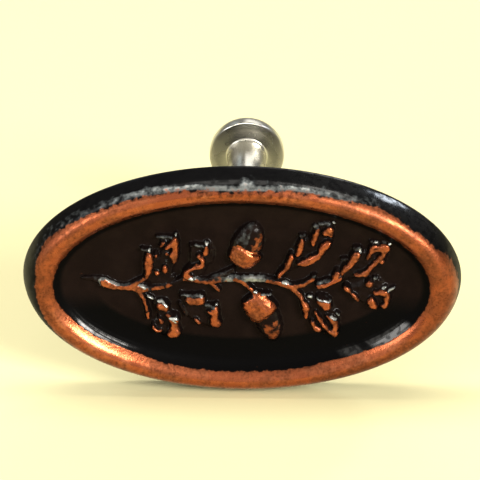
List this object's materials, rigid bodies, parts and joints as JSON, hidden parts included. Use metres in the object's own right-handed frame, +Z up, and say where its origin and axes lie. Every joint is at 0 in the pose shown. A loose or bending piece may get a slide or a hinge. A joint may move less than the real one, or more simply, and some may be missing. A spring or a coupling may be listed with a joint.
{
  "type": "oval cabinet pull",
  "caption": "Oval die-cast pull with an oak and acorn sprig in relief inside a raised rim, on a short neck, with its machine screw.",
  "frame": {"origin": "middle of the neck's seat, on the plane of the panel that the pull is screwed to", "axes": "+X along the long axis of the oval, +Y into the panel along the screw, +Z up the panel; the face looks towards -Y"},
  "size_m": [0.0444, 0.032, 0.0254],
  "materials": {
    "aged_copper": "copper plate over zinc die-casting, blackened in the hollows and buffed back on the high spots, satin lacquer",
    "bright_zinc": "bright zinc plate"
  },
  "bodies": {
    "root": {"knob": "aged_copper", "screw": "bright_zinc"}
  },
  "joints": []
}
